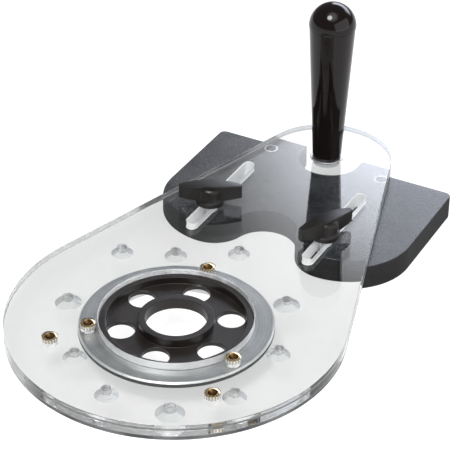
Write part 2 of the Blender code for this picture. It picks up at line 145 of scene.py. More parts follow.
# The plate's side gets two darker lines along it and greyer stretches: painted reflections of
# the dark room and the dark guide that the clear sheet would show. Each pair is where a change
# starts and ends, and each share says how dark a stretch is, with 1 for a full line.
EDGE_LOWER_LINE = (PLATE_BOTTOM + 2.3 * MM, PLATE_BOTTOM + 2.9 * MM)
EDGE_UPPER_LINE = PLATE_TOP - 2.6 * MM
EDGE_UPPER_WIDTH = (0.45 * MM, 0.8 * MM)
EDGE_UPPER_SHARE = 0.9
EDGE_FAINT_X = (-0.8 * BIG_R, -0.3 * BIG_R)  # the lines grow from faint to full
EDGE_FAINT_SHARE = 0.3
EDGE_REAR_Y = (GRIP.y - SMALL_R / 2, GRIP.y)  # behind this the whole side is grey
EDGE_REAR_SHARE = 0.6
EDGE_LEFT_X = (-0.45 * BIG_R, -0.3 * BIG_R)  # left of this too, in front of the guide
EDGE_LEFT_Y = (GUIDE_LOW.y, GUIDE_LOW.y + 15 * MM)
EDGE_LEFT_SHARE = 0.45
EDGE_PAINTED_REFLECTION = (0.03, 0.032, 0.034)
EDGE_PAINTED_REFLECTION_CLEARNESS = 0.12
EDGE_PAINTED_REFLECTION_ROUGHNESS = 0.45

# Grey tint of the clear acrylic, partly its own tint and partly painted shade: it darkens the
# table seen through the plate as the plate's shade would.
ACRYLIC_TINT_AND_PAINTED_SHADE = (0.64, 0.645, 0.64)
ACRYLIC_IOR = 1.49

# Studio: headings in degrees from +Y towards +X, heights as the sine of the elevation
PANEL_LEFT = (-24.5, -0.0825, 0.049)
PANEL_RIGHT = (32.0, 0.05, -0.15)
PANEL_LOW = (0.15, 0.35)
PANEL_HIGH = (0.61, 0.49)
PANEL_LIGHT = 7.9
PANEL_COLOUR = (0.82, 0.87, 1.0)
OVERHEAD_AXIS = (0.12, -0.38, 0.92)
OVERHEAD_SPREAD = (0.87, 1.0)
OVERHEAD_GLOW = 3.0
ROOM_LIGHT = 0.2
ROOM_COLOUR = (0.97, 0.98, 1.0)
FLOOR_HALF = 30.0
TABLE_GLOW = 0.88
KEY_PLACE = (-0.05, -0.53, 1.19)
KEY_SIZE = 0.48
KEY_POWER = 13.0
SIDE_PLACE = (1.3, -0.25, 0.5)
SIDE_SIZE = (2.2, 1.1)
SIDE_POWER = 13.0

# The camera that was fitted to the photo, with its angles in degrees
CAMERA_PLACE = (0.39244, -0.74722, 0.60294)
CAMERA_AZIMUTH = 27.82
CAMERA_ELEVATION = 33.49
CAMERA_ROLL = 0.61
CAMERA_LENS = 136.0


# ---------------------------------------------------------------- materials
def principled(name, colour, roughness, metallic=0.0):
    material = bpy.data.materials.new(name)
    material.use_nodes = True
    shader = material.node_tree.nodes["Principled BSDF"]
    shader.inputs["Base Color"].default_value = (*colour, 1.0)
    shader.inputs["Roughness"].default_value = roughness
    shader.inputs["Metallic"].default_value = metallic
    return material, material.node_tree, shader


def on_piece(tree):
    """Object coordinates in metres, which move with the piece."""
    return tree.nodes.new("ShaderNodeTexCoord").outputs["Object"]


def stretched(tree, vector, scale):
    mapping = tree.nodes.new("ShaderNodeMapping")
    mapping.inputs["Scale"].default_value = scale
    tree.links.new(vector, mapping.inputs["Vector"])
    return mapping.outputs["Vector"]


def noise(tree, vector, size, detail=3.0, roughness=0.6):
    """Noise whose features are about size metres across."""
    made = tree.nodes.new("ShaderNodeTexNoise")
    made.inputs["Scale"].default_value = 1.0 / size
    made.inputs["Detail"].default_value = detail
    made.inputs["Roughness"].default_value = roughness
    tree.links.new(vector, made.inputs["Vector"])
    return made.outputs["Fac"]


def ranged(tree, value, start, end, low, high):
    made = tree.nodes.new("ShaderNodeMapRange")
    settings = {"From Min": start, "From Max": end, "To Min": low, "To Max": high}
    for name, number in settings.items():
        made.inputs[name].default_value = number
    tree.links.new(value, made.inputs["Value"])
    return made.outputs["Result"]


def calculated(tree, operation, first, second):
    made = tree.nodes.new("ShaderNodeMath")
    made.operation = operation
    for socket, value in zip(made.inputs, (first, second)):
        if isinstance(value, (int, float)):
            socket.default_value = value
        else:
            tree.links.new(value, socket)
    return made.outputs["Value"]


def blended(tree, share, first, second):
    made = tree.nodes.new("ShaderNodeMix")
    made.data_type = "RGBA"
    colours = [socket for socket in made.inputs if socket.type == "RGBA"]
    colours[0].default_value = (*first, 1.0)
    colours[1].default_value = (*second, 1.0)
    tree.links.new(share, made.inputs["Factor"])
    return [socket for socket in made.outputs if socket.type == "RGBA"][0]


def product(tree, first, *others):
    for other in others:
        first = calculated(tree, "MULTIPLY", first, other)
    return first


def weighted(tree, first, first_share, second, second_share):
    """The sum of two values, each times its share."""
    first = calculated(tree, "MULTIPLY", first, first_share)
    second = calculated(tree, "MULTIPLY", second, second_share)
    return calculated(tree, "ADD", first, second)


def coloured(tree, shader, share, first, second):
    tree.links.new(blended(tree, share, first, second), shader.inputs["Base Color"])


def roughened(tree, shader, value, *limits):
    tree.links.new(ranged(tree, value, *limits), shader.inputs["Roughness"])


def bumped(tree, shader, height, depth, strength=1.0):
    made = tree.nodes.new("ShaderNodeBump")
    made.inputs["Strength"].default_value = strength
    made.inputs["Distance"].default_value = depth
    tree.links.new(height, made.inputs["Height"])
    tree.links.new(made.outputs["Normal"], shader.inputs["Normal"])


def separate(tree):
    """The piece's own X, Y and Z."""
    split = tree.nodes.new("ShaderNodeSeparateXYZ")
    tree.links.new(on_piece(tree), split.inputs["Vector"])
    return split.outputs["X"], split.outputs["Y"], split.outputs["Z"]


def turned_radius(tree):
    """Distance from the piece's own axis, for marks that a lathe leaves."""
    x, y, _ = separate(tree)
    squares = calculated(tree, "ADD", product(tree, x, x), product(tree, y, y))
    return calculated(tree, "SQRT", squares, 0.0)


def lets_light_through(material, tree, shader, tint):
    """Lamps shine through the glass onto what is under it."""
    output = tree.nodes["Material Output"]
    path = tree.nodes.new("ShaderNodeLightPath")
    clear = tree.nodes.new("ShaderNodeBsdfTransparent")
    clear.inputs["Color"].default_value = (*tint, 1.0)
    mix = tree.nodes.new("ShaderNodeMixShader")
    tree.links.new(path.outputs["Is Shadow Ray"], mix.inputs["Fac"])
    tree.links.new(shader.outputs["BSDF"], mix.inputs[1])
    tree.links.new(clear.outputs["BSDF"], mix.inputs[2])
    tree.links.new(mix.outputs["Shader"], output.inputs["Surface"])
    return material


def polished_acrylic():
    material, tree, shader = principled("polished_acrylic", ACRYLIC_TINT_AND_PAINTED_SHADE, 0.0)
    shader.inputs["Transmission Weight"].default_value = 1.0
    shader.inputs["IOR"].default_value = ACRYLIC_IOR
    smears = noise(tree, on_piece(tree), 14 * MM, 4.0)
    roughened(tree, shader, smears, 0.45, 0.75, 0.0, 0.008)
    bumped(tree, shader, noise(tree, on_piece(tree), 25 * MM, 1.0), 0.01 * MM)
    return lets_light_through(material, tree, shader, (0.88, 0.885, 0.88))


def polished_edge_painted_reflections():
    """The sheet's side, with painted reflections: darker lines along it and greyer stretches.
    """
    material, tree, shader = principled("polished_edge_painted_reflections", ACRYLIC_TINT_AND_PAINTED_SHADE, 0.0)
    shader.inputs["IOR"].default_value = ACRYLIC_IOR
    x, y, height = separate(tree)
    lower = ranged(tree, height, *EDGE_LOWER_LINE, 1.0, 0.0)
    off = calculated(tree, "SUBTRACT", height, EDGE_UPPER_LINE)
    off = calculated(tree, "ABSOLUTE", off, 0.0)
    upper = ranged(tree, off, *EDGE_UPPER_WIDTH, EDGE_UPPER_SHARE, 0.0)
    uneven = ranged(tree, noise(tree, on_piece(tree), 20 * MM, 1.0), 0.35, 0.6, 0.85, 1.0)
    faint = ranged(tree, x, *EDGE_FAINT_X, EDGE_FAINT_SHARE, 1.0)
    lines = product(tree, uneven, faint, calculated(tree, "MAXIMUM", lower, upper))
    rear = ranged(tree, y, *EDGE_REAR_Y, 0.0, EDGE_REAR_SHARE)
    left = ranged(tree, x, *EDGE_LEFT_X, EDGE_LEFT_SHARE, 0.0)
    left = product(tree, left, ranged(tree, y, *EDGE_LEFT_Y, 1.0, 0.0))
    # The darker lines and stretches are painted reflections; there the side is also less clear
    # and rougher.
    dark = calculated(tree, "MAXIMUM", lines, calculated(tree, "MAXIMUM", rear, left))
    coloured(tree, shader, dark, ACRYLIC_TINT_AND_PAINTED_SHADE, EDGE_PAINTED_REFLECTION)
    clearness = ranged(tree, dark, 0.0, 1.0, 1.0, EDGE_PAINTED_REFLECTION_CLEARNESS)
    tree.links.new(clearness, shader.inputs["Transmission Weight"])
    roughened(tree, shader, dark, 0.0, 1.0, 0.01, EDGE_PAINTED_REFLECTION_ROUGHNESS)
    return lets_light_through(material, tree, shader, (0.80, 0.81, 0.80))


def machined_acrylic(name, colour, clearness, roughness):
    """Acrylic that a cutter has left frosted."""
    material, tree, shader = principled(name, colour, roughness)
    shader.inputs["Transmission Weight"].default_value = clearness
    shader.inputs["IOR"].default_value = ACRYLIC_IOR
    marks = noise(tree, stretched(tree, on_piece(tree), (1.0, 1.0, 12.0)), 4 * MM, 4.0)
    roughened(tree, shader, marks, 0.3, 0.7, roughness - 0.1, roughness + 0.12)
    bumped(tree, shader, marks, 0.05 * MM)
    return lets_light_through(material, tree, shader, (0.80, 0.81, 0.81))


def turned_marks(tree, radius, width, detail):
    """Rings about the piece's axis, each about width metres wide."""
    marks = tree.nodes.new("ShaderNodeTexNoise")
    marks.noise_dimensions = "1D"
    marks.inputs["Scale"].default_value = 1.0 / width
    marks.inputs["Detail"].default_value = detail
    tree.links.new(radius, marks.inputs["W"])
    return marks.outputs["Fac"]


def turned_aluminium(name, dull, bright, roughness):
    material, tree, shader = principled(name, bright, roughness, 1.0)
    radius = turned_radius(tree)
    fine = turned_marks(tree, radius, 0.35 * MM, 4.0)
    wide = turned_marks(tree, radius, 1.3 * MM, 3.0)
    patches = noise(tree, on_piece(tree), 9 * MM, 4.0)
    share = weighted(tree, patches, 0.35, wide, 0.65)
    coloured(tree, shader, ranged(tree, share, 0.28, 0.70, 0.0, 1.0), dull, bright)
    roughened(tree, shader, share, 0.35, 0.65, roughness - 0.08, roughness + 0.10)
    bumped(tree, shader, fine, 0.015 * MM, 0.6)
    return material


def moulded_black(name, roughness, colour, grain_depth):
    material, tree, shader = principled(name, colour, roughness)
    shader.inputs["Specular IOR Level"].default_value = 0.34
    grain = noise(tree, on_piece(tree), 0.45 * MM, 3.0)
    flow = noise(tree, on_piece(tree), 12 * MM, 3.0)
    lighter = tuple(1.5 * c for c in colour)
    coloured(tree, shader, ranged(tree, flow, 0.35, 0.7, 0.0, 1.0), colour, lighter)
    roughened(tree, shader, flow, 0.3, 0.7, roughness - 0.06, roughness + 0.08)
    bumped(tree, shader, grain, grain_depth, 0.8)
    return material


def black_board(name, dark, light, roughness, gloss):
    material, tree, shader = principled(name, dark, roughness)
    shader.inputs["Specular IOR Level"].default_value = gloss
    speckle = noise(tree, on_piece(tree), 0.9 * MM, 4.0, 0.75)
    cloud = noise(tree, on_piece(tree), 20 * MM, 3.0)
    both = weighted(tree, speckle, 0.7, cloud, 0.3)
    coloured(tree, shader, ranged(tree, both, 0.4, 0.6, 0.0, 1.0), dark, light)
    roughened(tree, shader, both, 0.3, 0.7, roughness - 0.08, roughness + 0.08)
    bumped(tree, shader, speckle, 0.035 * MM, 1.0)
    return material


def gloss_black():
    material, tree, shader = principled("gloss_black", (0.006, 0.004, 0.0035), 0.05)
    shader.inputs["IOR"].default_value = 1.335
    haze = noise(tree, stretched(tree, on_piece(tree), (1.0, 1.0, 0.3)), 6 * MM, 5.0)
    roughened(tree, shader, haze, 0.35, 0.75, 0.04, 0.12)
    bumped(tree, shader, noise(tree, on_piece(tree), 9 * MM, 2.0), 0.012 * MM)
    return material


def bright_metal(name, dull, bright, roughness):
    material, tree, shader = principled(name, bright, roughness, 1.0)
    spots = noise(tree, on_piece(tree), 1.6 * MM, 4.0)
    coloured(tree, shader, ranged(tree, spots, 0.35, 0.65, 0.0, 1.0), dull, bright)
    roughened(tree, shader, spots, 0.3, 0.7, roughness - 0.05, roughness + 0.12)
    lines = noise(tree, stretched(tree, on_piece(tree), (1.0, 1.0, 20.0)), 3 * MM, 3.0)
    bumped(tree, shader, lines, 0.015 * MM, 0.6)
    return material


def studio_white():
    """A pale table lit from below."""
    material, tree, shader = principled("studio_white", (0.26, 0.26, 0.26), 0.9)
    paper = noise(tree, on_piece(tree), 4 * MM, 3.0)
    bumped(tree, shader, paper, 0.02 * MM, 0.3)
    shader.inputs["Emission Color"].default_value = (1.0, 1.0, 1.0, 1.0)
    shader.inputs["Emission Strength"].default_value = TABLE_GLOW
    return material


POLISHED = polished_acrylic()
SHEET_EDGE_PAINTED_REFLECTIONS = polished_edge_painted_reflections()
# The drilled walls and the countersinks are greyer than the turned and milled walls: painted
# shade inside the holes.
DRILLED_PAINTED_SHADE = machined_acrylic("drilled_acrylic_painted_shade", (0.44, 0.445, 0.45), 0.52, 0.24)
SUNK_PAINTED_SHADE = machined_acrylic("countersunk_acrylic_painted_shade", (0.50, 0.51, 0.51), 0.46, 0.34)
TURNED = machined_acrylic("turned_acrylic", (0.76, 0.765, 0.77), 0.5, 0.3)
MILLED = machined_acrylic("milled_acrylic", (0.88, 0.885, 0.88), 0.35, 0.4)
ALUMINIUM = turned_aluminium(
    "turned_aluminium", (0.46, 0.47, 0.48), (0.74, 0.75, 0.76), 0.44
)
# A lighter copy of the ring's aluminium for its chamfer: a painted highlight.
ALUMINIUM_PAINTED_HIGHLIGHT = turned_aluminium(
    "aluminium_painted_highlight", (0.90, 0.91, 0.92), (0.98, 0.98, 0.98), 0.42
)
# A darker copy of the ring's aluminium for its outer wall: painted shade.
ALUMINIUM_PAINTED_SHADE = turned_aluminium(
    "aluminium_painted_shade", (0.05, 0.05, 0.05), (0.10, 0.10, 0.10), 0.4
)
MOULDED = moulded_black("moulded_black", 0.36, (0.010, 0.008, 0.007), 0.015 * MM)
KNOB_BLACK = moulded_black("knob_black", 0.38, (0.005, 0.004, 0.0035), 0.006 * MM)
BOARD = black_board("black_board", (0.004, 0.005, 0.007), (0.046, 0.048, 0.052), 0.23, 0.41)
# The board's cut sides: rougher and less glossy than the top, and darker as painted shade.
BOARD_EDGE_PAINTED_SHADE = black_board("board_edge_painted_shade", (0.005, 0.005, 0.005), (0.016, 0.016, 0.017), 0.75, 0.2)
GLOSS = gloss_black()
BRASS = bright_metal("brass", (0.60, 0.44, 0.22), (0.92, 0.76, 0.48), 0.2)
# A darker copy of the brass for the inserts' bores and the groove under their lips: painted
# shade.
BRASS_THREAD_PAINTED_SHADE = bright_metal("brass_thread_painted_shade", (0.09, 0.05, 0.018), (0.34, 0.21, 0.09), 0.24)
ZINC = bright_metal("zinc_steel", (0.66, 0.67, 0.68), (0.90, 0.91, 0.92), 0.25)
DULL_ZINC = bright_metal("dull_zinc", (0.45, 0.45, 0.46), (0.70, 0.70, 0.71), 0.36)
BRIGHT_ZINC = bright_metal("bright_zinc", (0.92, 0.93, 0.94), (0.98, 0.98, 0.99), 0.42)
# The plate's sockets show the inserts' pressed knurls: a whiter copy of brass as painted
# sheen, with darker grooves as painted shade.
PRESSED_PAINTED_SHEEN = bright_metal("pressed_brass_painted_sheen", (0.92, 0.89, 0.80), (0.99, 0.97, 0.92), 0.36)
PRESSED_GROOVE_PAINTED_SHADE = bright_metal("pressed_groove_painted_shade", (0.24, 0.20, 0.14), (0.44, 0.38, 0.29), 0.4)
# A darker copy of the zinc for the guide inserts' bores and lip grooves: painted shade.
ZINC_THREAD_PAINTED_SHADE = bright_metal("zinc_thread_painted_shade", (0.08, 0.08, 0.085), (0.20, 0.20, 0.21), 0.3)
SOCKET_FINISHES = (PRESSED_PAINTED_SHEEN, POLISHED, PRESSED_GROOVE_PAINTED_SHADE)


# ---------------------------------------------------------------- outlines
def polar(radius, degrees, centre=(0.0, 0.0)):
    angle = math.radians(degrees)
    return (centre[0] + radius * math.cos(angle), centre[1] + radius * math.sin(angle))


def arc(centre, radius, start, end, steps):
    turn = (end - start) / steps
    return [polar(radius, start + turn * i, centre) for i in range(steps + 1)]


def plate_outline(inset):
    """Big and small circle with their outer tangents; inset draws the line inwards."""
    lean = math.degrees(math.asin((BIG_R - SMALL_R) / CENTRES))
    points = arc(OPENING, BIG_R - inset, 180 - lean, 360 + lean, 320)
    points += arc(GRIP, SMALL_R - inset, lean, 180 - lean, 120)
    return points


def slot_outline(x, widen):
    near = (x, OPENING.y + SLOT_NEAR + SLOT_HALF_W)
    far = (x, OPENING.y + SLOT_FAR - SLOT_HALF_W)
    radius = SLOT_HALF_W + widen
    return arc(near, radius, 180, 360, 24) + arc(far, radius, 0, 180, 24)


def guide_outline(inset):
    front, rear = GUIDE_LOW.y, GUIDE_HIGH.y
    lobe_x = GUIDE_HIGH.x - GUIDE_LOBE_R
    drop = FRONT_NOTCH_INSET
    inner_r = (lobe_x**2 + drop**2 - NOTCH_R**2) / (2 * (NOTCH_R + drop))
    notch = (0.0, front + drop)
    inner = (lobe_x, front + inner_r)
    outer = (lobe_x, front + GUIDE_LOBE_R)
    meet = math.degrees(math.atan2(inner[1] - notch[1], inner[0] - notch[0]))
    corner = (GUIDE_HIGH.x - GUIDE_CORNER_R, rear - GUIDE_CORNER_R)
    rear_notch = (0.0, rear - REAR_NOTCH_INSET)
    half = arc(notch, NOTCH_R + inset, 90, meet, 24)
    half += arc(inner, inner_r - inset, 180 + meet, 270, 24)[1:]
    half += arc(outer, GUIDE_LOBE_R - inset, -90, 0, 40)[1:]
    half += arc(corner, GUIDE_CORNER_R - inset, 0, 90, 10)
    half += [(NOTCH_R + inset, rear - inset)]
    half += arc(rear_notch, NOTCH_R + inset, 0, -90, 30)
    return half + [(-x, y) for x, y in reversed(half[1:-1])]


# ---------------------------------------------------------------- solids
def lofted(rings):
    """A solid through rings of equally many points, with flat ends."""
    made = bmesh.new()
    levels = [[made.verts.new(point) for point in ring] for ring in rings]
    count = len(levels[0])
    for low, high in zip(levels, levels[1:]):
        for i in range(count):
            j = (i + 1) % count
            made.faces.new((low[i], low[j], high[j], high[i]))
    made.faces.new(list(reversed(levels[0])))
    made.faces.new(levels[-1])
    bmesh.ops.recalc_face_normals(made, faces=made.faces)
    return made


def slab(outline, bottom, top, edge):
    """An outline given thickness, its upper and lower edges rounded."""
    rings = []
    for i in range(4):
        angle = math.radians(30 * i)
        inset = edge * (1 - math.sin(angle))
        height = bottom + edge * (1 - math.cos(angle))
        rings.append([(x, y, height) for x, y in outline(inset)])
    for i in range(3, -1, -1):
        angle = math.radians(30 * i)
        inset = edge * (1 - math.sin(angle))
        height = top - edge * (1 - math.cos(angle))
        rings.append([(x, y, height) for x, y in outline(inset)])
    return lofted(rings)


def lathe(profile, steps, closed=False, teeth=0, depth=0.0, toothed=()):
    """A solid of revolution about its own Z axis, from (radius, height) pairs.

    A closed profile makes a ring. toothed names the profile's points that are
    knurled, with that many teeth of that depth.
    """
    made = bmesh.new()
    rings = []
    for index, (radius, height) in enumerate(profile):
        if radius == 0.0:
            rings.append([made.verts.new((0.0, 0.0, height))])
            continue
        ring = []
        for i in range(steps):
            angle = TAU * i / steps
            cut = depth * abs(math.sin(teeth * angle / 2)) if index in toothed else 0.0
            x, y = (radius - cut) * math.cos(angle), (radius - cut) * math.sin(angle)
            ring.append(made.verts.new((x, y, height)))
        rings.append(ring)
    pairs = list(zip(rings, rings[1:]))
    if closed:
        pairs.append((rings[-1], rings[0]))
    for low, high in pairs:
        for i in range(steps):
            j = (i + 1) % steps
            around = ((low, i), (low, j), (high, j), (high, i))
            corners = [ring[k % len(ring)] for ring, k in around]
            made.faces.new(list(dict.fromkeys(corners)))
    bmesh.ops.recalc_face_normals(made, faces=made.faces)
    return made


def rounded(profile, radius, steps=3):
    """The closed profile with each corner replaced by a small arc."""
    points = []
    count = len(profile)
    for i, corner in enumerate(profile):
        here = Vector(corner)
        before = Vector(profile[i - 1]) - here
        after = Vector(profile[(i + 1) % count]) - here
        reach = min(radius, 0.4 * before.length, 0.4 * after.length)
        start = here + before.normalized() * reach
        end = here + after.normalized() * reach
        for k in range(steps + 1):
            t = k / steps
            points.append(tuple((1 - t) ** 2 * start + 2 * t * (1 - t) * here + t * t * end))
    return points


def threaded(radius, pitch, bottom, top, depth, steps=24):
    """A rod with a right-hand thread, tapered off at both ends."""
    made = bmesh.new()
    rows = int((top - bottom) / pitch * THREAD_ROWS)
    levels = []
    for row in range(rows + 1):
        height = bottom + (top - bottom) * row / rows
        fade = min(1.0, row / 3, (rows - row) / 3)
        ring = []
        for i in range(steps):
            phase = (height / pitch - i / steps) % 1.0
            ridge = 1 - abs(2 * phase - 1)
            reach = radius - depth * (1 - ridge * fade)
            angle = TAU * i / steps
            x, y = reach * math.cos(angle), reach * math.sin(angle)
            ring.append(made.verts.new((x, y, height)))
        levels.append(ring)
    for low, high in zip(levels, levels[1:]):
        for i in range(steps):
            j = (i + 1) % steps
            made.faces.new((low[i], low[j], high[j], high[i]))
    made.faces.new(list(reversed(levels[0])))
    made.faces.new(levels[-1])
    bmesh.ops.recalc_face_normals(made, faces=made.faces)
    return made


def shade(mesh):
    mesh.shade_smooth()
    mesh.set_sharp_from_angle(angle=SHARP_ANGLE)


def is_upright(face):
    return abs(face.normal.z) < UPRIGHT


def plain_object(name, mesh_data, material, location=(0.0, 0.0, 0.0)):
    mesh = bpy.data.meshes.new(name)
    mesh_data.to_mesh(mesh)
    mesh_data.free()
    mesh.materials.append(material)
    shade(mesh)
    made = bpy.data.objects.new(name, mesh)
    bpy.context.scene.collection.objects.link(made)
    made.location = location
    return made


def boolean(target, tools, operation="DIFFERENCE"):
    """Cut the tools from the target, or join them to it, and keep the result as its mesh."""
    for tool in tools:
        step = target.modifiers.new(tool.name, "BOOLEAN")
        step.operation = operation
        step.solver = "EXACT"
        step.material_mode = "TRANSFER"
        step.object = tool
    keep_evaluated(target)
    for tool in tools:
        bpy.data.objects.remove(tool, do_unlink=True)


def keep_evaluated(target):
    """Give the target the mesh its modifiers make, without the slivers that cuts leave."""
    bpy.context.view_layer.update()
    graph = bpy.context.evaluated_depsgraph_get()
    mesh = bpy.data.meshes.new_from_object(target.evaluated_get(graph))
    made = bmesh.new()
    made.from_mesh(mesh)
    bmesh.ops.triangulate(made, faces=made.faces)
    bmesh.ops.dissolve_degenerate(made, dist=SLIVER, edges=made.edges)
    made.to_mesh(mesh)
    made.free()
    target.modifiers.clear()
    target.data = mesh
    shade(mesh)


def settle(obj, body, slot, *nodes):
    """Shade flat faces evenly, then tie the piece to its body and hide its nodes; slot, the
    finish's name, is not used.
    """
    step = obj.modifiers.new("even_normals", "WEIGHTED_NORMAL")
    step.keep_sharp = True
    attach(obj, body)
    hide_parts(*nodes)


def open_bore(radius, bottom, top, past):
    """The profile of a through hole's cutter; its upper edge is broken."""
    return [
        (0.0, bottom - past),
        (radius, bottom - past),
        (radius, top - EDGE_BREAK),
        (radius + EDGE_BREAK + past, top + past),
        (0.0, top + past),
    ]


# ---------------------------------------------------------------- plate
def hole_cutter(name, centre, hole_r, sink_r, materials, grooved=False):
    """A through hole, countersunk from below, its upper edge broken.

    The materials are the wall's, the slopes' and, in a grooved wall, the grooves'; the
    grooves' finish is darker as painted shade.
    """
    past = 2 * MM
    profile = [
        (0.0, PLATE_BOTTOM - past),
        (sink_r + past, PLATE_BOTTOM - past),
        (hole_r, PLATE_BOTTOM + sink_r - hole_r),
        (hole_r, PLATE_TOP - KNURL_DEPTH),
        (hole_r, PLATE_TOP - HOLE_BREAK),
        (hole_r + HOLE_BREAK + past, PLATE_TOP + past),
        (0.0, PLATE_TOP + past),
    ]
    location = (centre[0], centre[1], 0.0)
    cutter = plain_object(name, lathe(profile, HOLE_STEPS), materials[0], location)
    for material in materials[1:]:
        cutter.data.materials.append(material)
    for face in cutter.data.polygons:
        step = round(HOLE_STEPS * math.atan2(face.center.y, face.center.x) / TAU - 0.5)
        below_knurl = grooved and face.center.z < PLATE_TOP - KNURL_DEPTH
        if below_knurl or not is_upright(face):
            face.material_index = 1
        # Every third step of a grooved wall takes the darker finish, painted shade.
        elif grooved and step % 3 == 0:
            face.material_index = 2
    return cutter


def make_plate():
    shape = slab(plate_outline, PLATE_BOTTOM, PLATE_TOP, EDGE)
    plate = plain_object("plate_fine", shape, POLISHED)
    # The upright faces take the side's finish with its painted reflections.
    plate.data.materials.append(SHEET_EDGE_PAINTED_REFLECTIONS)
    for face in plate.data.polygons:
        face.material_index = int(is_upright(face))
    past = 2 * MM
    levels = [
        (EDGE_BREAK + past, PLATE_BOTTOM - past),
        (0.0, PLATE_BOTTOM + EDGE_BREAK),
        (0.0, PLATE_TOP - EDGE_BREAK),
        (EDGE_BREAK + past, PLATE_TOP + past),
    ]
    profile = [(0.0, PLATE_BOTTOM - past)]
    profile += [(OPENING_R + widen, height) for widen, height in levels]
    profile += [(0.0, PLATE_TOP + past)]
    cutters = [plain_object("opening", lathe(profile, 256), TURNED, (*OPENING, 0.0))]
    # The screw holes take the greyer finishes, with painted shade.
    screw_hole = (DRILLED_PAINTED_SHADE, SUNK_PAINTED_SHADE)
    for number, (circle_r, angle, hole_r, sink_r) in enumerate(ROUTER_HOLES):
        name, centre = f"router_hole_{number}", polar(circle_r, angle, OPENING)
        cutters.append(hole_cutter(name, centre, hole_r, sink_r, screw_hole))
    for node in PLATE_INSERTS:
        name, centre = "socket_" + node, centre_of(node)
        hole_r = half_width(node) + GAP / 2
        cutters.append(hole_cutter(name, centre, hole_r, hole_r, SOCKET_FINISHES, True))
    head_r = half_width("grip_screw") + GAP
    cutters.append(hole_cutter("grip_hole", GRIP, GRIP_SHANK_R + GAP, head_r, screw_hole))
    for side in ("left", "right"):
        x = centre_of("knob_stud_" + side).x
        rings = [[(*p, height) for p in slot_outline(x, widen)] for widen, height in levels]
        cutters.append(plain_object("slot_" + side, lofted(rings), MILLED))
    boolean(plate, cutters)
    settle(plate, "base", "clear_acrylic", "base_plate")


def threaded_bore(radius, bottom, top, pitch, depth):
    """Profile points down a bore, with a groove for each turn of the thread."""
    turns = int((top - bottom) / pitch)
    points = []
    for turn in range(turns):
        height = top - turn * pitch
        points.append((radius, height - 0.15 * pitch))
        points.append((radius + depth, height - 0.6 * pitch))
    return points


def make_insert(node, body, slot, finishes, bore_r, pitch, rim_edge):
    """A knurled insert: plain lip, knurled body, chamfered and threaded bore."""
    low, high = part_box(node)
    centre = centre_of(node)
    radius = half_width(node)
    length = high.z - low.z
    lip = 1.1 * MM
    chamfer = 0.2 * MM
    foot = 0.4 * MM
    groove = 0.45 * MM
    profile = [
        (bore_r + chamfer, 0.0),
        (radius - foot, 0.0),
        (radius, foot),
        (radius, length - lip - 0.5 * MM),
        (radius - groove, length - lip - 0.3 * MM),
        (radius - groove, length - lip),
        (radius, length - lip + 0.2 * MM),
        (radius, length - rim_edge),
        (radius - 0.3 * rim_edge, length - 0.3 * rim_edge),
        (radius - rim_edge, length),
        (bore_r + chamfer, length),
    ]
    profile += threaded_bore(bore_r, chamfer, length - chamfer, pitch, 0.25 * MM)
    shape = lathe(profile, 108, closed=True, teeth=18, depth=0.5 * MM, toothed=(2, 3))
    fine = plain_object(node + "_fine", shape, finishes[0], (centre.x, centre.y, low.z))
    fine.data.materials.append(finishes[1])
    # The bore and the groove under the lip take the second finish, a darker copy that paints
    # the shade in them.
    for face in fine.data.polygons:
        reach = face.center.xy.length
        in_bore = reach < bore_r + 0.9 * chamfer
        in_groove = radius - 0.6 * MM < reach < radius - 0.4 * MM and is_upright(face)
        face.material_index = int(in_bore or in_groove)
    settle(fine, body, slot, node)


# ---------------------------------------------------------------- seat ring and insert ring
def make_seat_ring():
    low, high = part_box("seat_ring")
    outer_r = half_width("seat_ring")
    thick = high.z - low.z
    profile = [
        (SEAT_INNER_R, 0.0),
        (outer_r, 0.0),
        (outer_r, thick - SEAT_CHAMFER),
        (outer_r - SEAT_CHAMFER, thick),
        (SEAT_INNER_R, thick),
    ]
    shape = lathe(rounded(profile, 0.15 * MM), 256, closed=True)
    ring = plain_object("seat_ring_fine", shape, ALUMINIUM, (*OPENING, low.z))
    cutters = []
    for number in (1, 2, 3):
        node = f"seat_screw_{number}"
        centre = centre_of(node)
        head_r = half_width(node) + GAP
        shank_r = SEAT_SHANK_R + GAP
        past = 1 * MM
        sink = [
            (0.0, low.z - past),
            (head_r + past, low.z - past),
            (shank_r, low.z + head_r - shank_r),
            (shank_r, high.z + past),
            (0.0, high.z + past),
        ]
        location = (centre.x, centre.y, 0.0)
        cutters.append(plain_object("sink_" + node, lathe(sink, 40), ALUMINIUM, location))
    boolean(ring, cutters)
    on_chamfer = len(ring.data.materials)
    ring.data.materials.append(ALUMINIUM_PAINTED_HIGHLIGHT)
    ring.data.materials.append(ALUMINIUM_PAINTED_SHADE)
    level = 0.95  # a face is level when its normal's Z is more than this
    for face in ring.data.polygons:
        if face.center.xy.length > outer_r - SEAT_CHAMFER and face.normal.z > -UPRIGHT:
            # The outer wall takes the darker copy, painted shade.
            if face.normal.z < UPRIGHT:
                face.material_index = on_chamfer + 1
            # The chamfer takes the lighter copy, a painted highlight.
            elif face.normal.z < level:
                face.material_index = on_chamfer
    settle(ring, "base", "turned_aluminium", "seat_ring")


